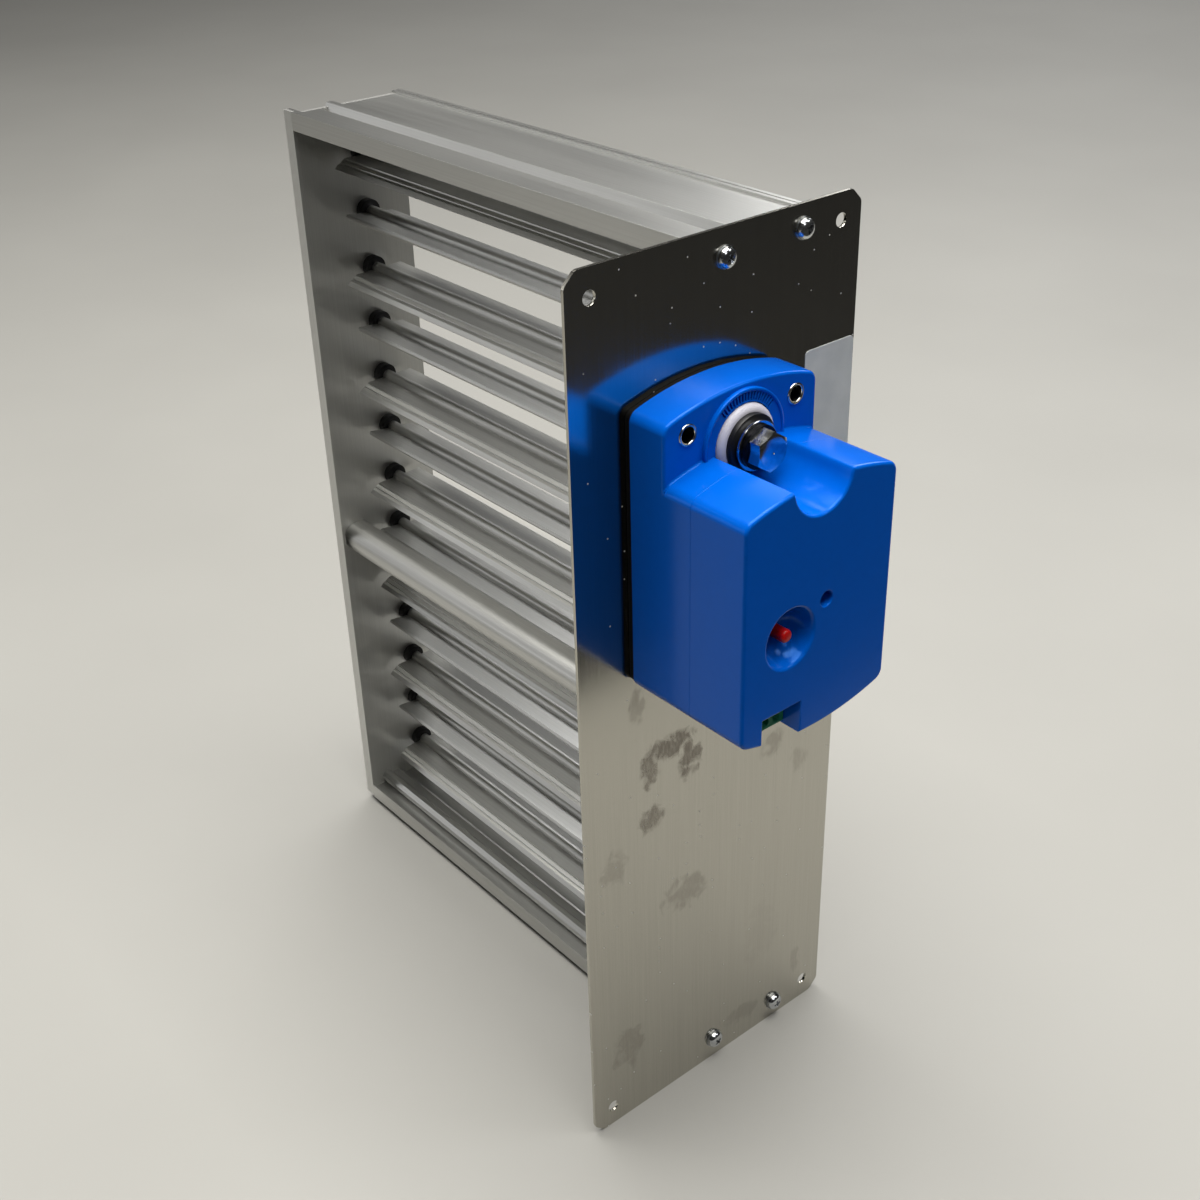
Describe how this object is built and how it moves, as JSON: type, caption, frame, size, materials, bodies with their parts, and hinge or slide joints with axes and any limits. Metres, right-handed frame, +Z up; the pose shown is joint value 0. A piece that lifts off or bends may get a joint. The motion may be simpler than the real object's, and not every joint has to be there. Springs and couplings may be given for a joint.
{
  "type": "zone damper",
  "caption": "Rectangular opposed-blade air damper: geared blades in an extruded frame, fixed to a side plate that carries a rotary actuator with crank link.",
  "frame": {"origin": "centre of the four mounting holes, on the inner face of the side plate", "axes": "+X out of the plate on the actuator side, +Y with the air, +Z up"},
  "size_m": [0.3036, 0.127, 0.3556],
  "materials": {
    "stainless_plate": "vertical brushed grain",
    "satin_aluminium": "satin extruded",
    "black_nylon": "moulded, matte",
    "dark_acetal": "moulded, matte",
    "zinc_steel": "bright zinc plated",
    "blue_plastic": "moulded, semi-gloss",
    "nickel_eyelet": "nickel plated",
    "white_plastic": "moulded, semi-gloss",
    "black_plastic": "moulded, matte",
    "red_plastic": "moulded, semi-gloss",
    "green_plastic": "moulded, semi-gloss",
    "silver_film": "metallised film, satin"
  },
  "bodies": {
    "frame": {"mounting_plate": "stainless_plate", "top_rail": "satin_aluminium", "bottom_rail": "satin_aluminium", "far_jamb": "satin_aluminium", "drive_jamb": "satin_aluminium", "mullion": "satin_aluminium", "far_bushings": "black_nylon", "drive_bushings": "black_nylon", "plate_screws": "zinc_steel", "screw_washers": "zinc_steel", "frame_screws": "zinc_steel", "actuator_back_plate": "black_plastic", "rear_housing": "blue_plastic", "front_housing": "blue_plastic", "mounting_eyelets": "nickel_eyelet", "actuator_screws": "zinc_steel", "terminal_block": "green_plastic", "terminal_screws": "zinc_steel", "rating_sticker": "silver_film"},
    "shaft": {"drive_shaft": "zinc_steel", "output_hub": "white_plastic", "friction_ring": "black_plastic", "shaft_washer": "zinc_steel", "spring_washer": "zinc_steel", "clamp_bolt": "zinc_steel", "shaft_crank": "zinc_steel"},
    "link": {"link_rod": "zinc_steel"},
    "button": {"release_button": "red_plastic"},
    "blade_body_01": {"blade_01": "satin_aluminium", "gear_01": "dark_acetal"},
    "blade_body_02": {"blade_02": "satin_aluminium", "gear_02": "dark_acetal"},
    "blade_body_03": {"blade_03": "satin_aluminium", "gear_03": "dark_acetal", "blade_crank": "zinc_steel"},
    "blade_body_04": {"blade_04": "satin_aluminium", "gear_04": "dark_acetal"},
    "blade_body_05": {"blade_05": "satin_aluminium", "gear_05": "dark_acetal"},
    "blade_body_06": {"blade_06": "satin_aluminium", "gear_06": "dark_acetal"},
    "blade_body_07": {"blade_07": "satin_aluminium", "gear_07": "dark_acetal"},
    "blade_body_08": {"blade_08": "satin_aluminium", "gear_08": "dark_acetal"},
    "blade_body_09": {"blade_09": "satin_aluminium", "gear_09": "dark_acetal"},
    "blade_body_10": {"blade_10": "satin_aluminium", "gear_10": "dark_acetal"},
    "blade_body_11": {"blade_11": "satin_aluminium", "gear_11": "dark_acetal"},
    "blade_body_12": {"blade_12": "satin_aluminium", "gear_12": "dark_acetal"},
    "blade_body_13": {"blade_13": "satin_aluminium", "gear_13": "dark_acetal"}
  },
  "joints": [
    {"name": "shaft_turn", "type": "hinge", "parent": "frame", "child": "shaft", "pos_m": [0, -0.0085, 0.1152], "axis": [1, 0, 0], "range_deg": [0, 85]},
    {"name": "link_swing", "type": "hinge", "parent": "shaft", "child": "link", "pos_m": [-0.0055, 0.00426, 0.12096], "axis": [1, 0, 0], "range_deg": [-85, 0]},
    {"name": "blade_turn_01", "type": "hinge", "parent": "frame", "child": "blade_body_01", "pos_m": [-0.012, 0.0225, 0.1524], "axis": [1, 0, 0], "range_deg": [0, 85]},
    {"name": "blade_turn_02", "type": "hinge", "parent": "frame", "child": "blade_body_02", "pos_m": [-0.012, 0.0225, 0.127], "axis": [1, 0, 0], "range_deg": [-85, 0]},
    {"name": "blade_turn_03", "type": "hinge", "parent": "frame", "child": "blade_body_03", "pos_m": [-0.012, 0.0225, 0.1016], "axis": [1, 0, 0], "range_deg": [0, 85]},
    {"name": "blade_turn_04", "type": "hinge", "parent": "frame", "child": "blade_body_04", "pos_m": [-0.012, 0.0225, 0.0762], "axis": [1, 0, 0], "range_deg": [-85, 0]},
    {"name": "blade_turn_05", "type": "hinge", "parent": "frame", "child": "blade_body_05", "pos_m": [-0.012, 0.0225, 0.0508], "axis": [1, 0, 0], "range_deg": [0, 85]},
    {"name": "blade_turn_06", "type": "hinge", "parent": "frame", "child": "blade_body_06", "pos_m": [-0.012, 0.0225, 0.0254], "axis": [1, 0, 0], "range_deg": [-85, 0]},
    {"name": "blade_turn_07", "type": "hinge", "parent": "frame", "child": "blade_body_07", "pos_m": [-0.012, 0.0225, 0], "axis": [1, 0, 0], "range_deg": [0, 85]},
    {"name": "blade_turn_08", "type": "hinge", "parent": "frame", "child": "blade_body_08", "pos_m": [-0.012, 0.0225, -0.0254], "axis": [1, 0, 0], "range_deg": [-85, 0]},
    {"name": "blade_turn_09", "type": "hinge", "parent": "frame", "child": "blade_body_09", "pos_m": [-0.012, 0.0225, -0.0508], "axis": [1, 0, 0], "range_deg": [0, 85]},
    {"name": "blade_turn_10", "type": "hinge", "parent": "frame", "child": "blade_body_10", "pos_m": [-0.012, 0.0225, -0.0762], "axis": [1, 0, 0], "range_deg": [-85, 0]},
    {"name": "blade_turn_11", "type": "hinge", "parent": "frame", "child": "blade_body_11", "pos_m": [-0.012, 0.0225, -0.1016], "axis": [1, 0, 0], "range_deg": [0, 85]},
    {"name": "blade_turn_12", "type": "hinge", "parent": "frame", "child": "blade_body_12", "pos_m": [-0.012, 0.0225, -0.127], "axis": [1, 0, 0], "range_deg": [-85, 0]},
    {"name": "blade_turn_13", "type": "hinge", "parent": "frame", "child": "blade_body_13", "pos_m": [-0.012, 0.0225, -0.1524], "axis": [1, 0, 0], "range_deg": [0, 85]},
    {"name": "button_press", "type": "slide", "parent": "frame", "child": "button", "axis": [-1, 0, 0], "range_m": [0, 0.003], "stiffness_N_per_m": 800, "springref_m": -0.0005}
  ],
  "couplings": [
    {"joint": "link_swing", "follows": "shaft_turn", "ratio": -1},
    {"joint": "blade_turn_01", "follows": "shaft_turn", "ratio": 1},
    {"joint": "blade_turn_02", "follows": "shaft_turn", "ratio": -1},
    {"joint": "blade_turn_03", "follows": "shaft_turn", "ratio": 1},
    {"joint": "blade_turn_04", "follows": "shaft_turn", "ratio": -1},
    {"joint": "blade_turn_05", "follows": "shaft_turn", "ratio": 1},
    {"joint": "blade_turn_06", "follows": "shaft_turn", "ratio": -1},
    {"joint": "blade_turn_07", "follows": "shaft_turn", "ratio": 1},
    {"joint": "blade_turn_08", "follows": "shaft_turn", "ratio": -1},
    {"joint": "blade_turn_09", "follows": "shaft_turn", "ratio": 1},
    {"joint": "blade_turn_10", "follows": "shaft_turn", "ratio": -1},
    {"joint": "blade_turn_11", "follows": "shaft_turn", "ratio": 1},
    {"joint": "blade_turn_12", "follows": "shaft_turn", "ratio": -1},
    {"joint": "blade_turn_13", "follows": "shaft_turn", "ratio": 1}
  ]
}
